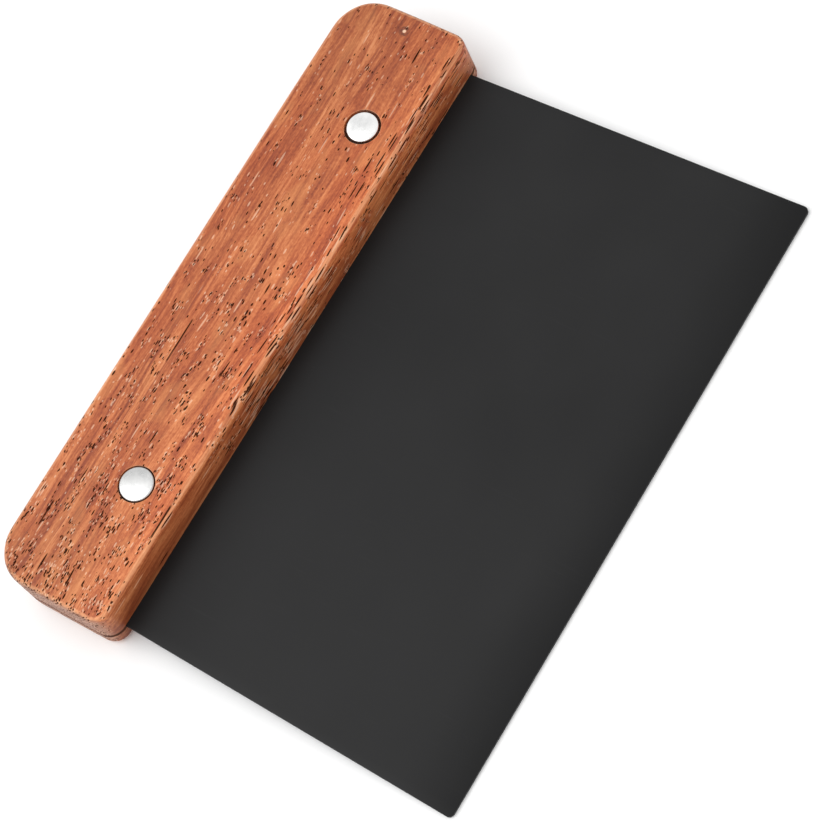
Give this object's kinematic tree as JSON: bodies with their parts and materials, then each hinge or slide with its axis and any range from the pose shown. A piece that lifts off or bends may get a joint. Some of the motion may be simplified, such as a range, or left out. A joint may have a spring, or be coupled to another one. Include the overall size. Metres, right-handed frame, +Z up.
{
  "type": "bench scraper",
  "caption": "Flat steel blade let into a kerf along a one-piece wooden handle and riveted there; cuts and lifts dough and scrapes a bench.",
  "frame": {"origin": "on the bench top, under the middle of the whole scraper's box as it lies on its working edge and on the lower front edge of its handle", "axes": "+X along the handle, +Y level and from the working edge towards the handle, +Z up; the blade's plane slopes up towards the handle, turned 2.95 degrees about X"},
  "size_m": [0.1554, 0.118, 0.017],
  "materials": {
    "handle_wood": "oiled reddish-brown hardwood, straight grain along the handle, open pores, paler end grain",
    "blade_coating": "satin black coating on sheet steel",
    "rivet_metal": "bright, lightly brushed heads"
  },
  "bodies": {
    "root": {"handle": "handle_wood", "blade": "blade_coating", "right_rivet_pin": "rivet_metal", "right_rivet_sleeve": "rivet_metal", "left_rivet_pin": "rivet_metal", "left_rivet_sleeve": "rivet_metal"}
  },
  "joints": []
}
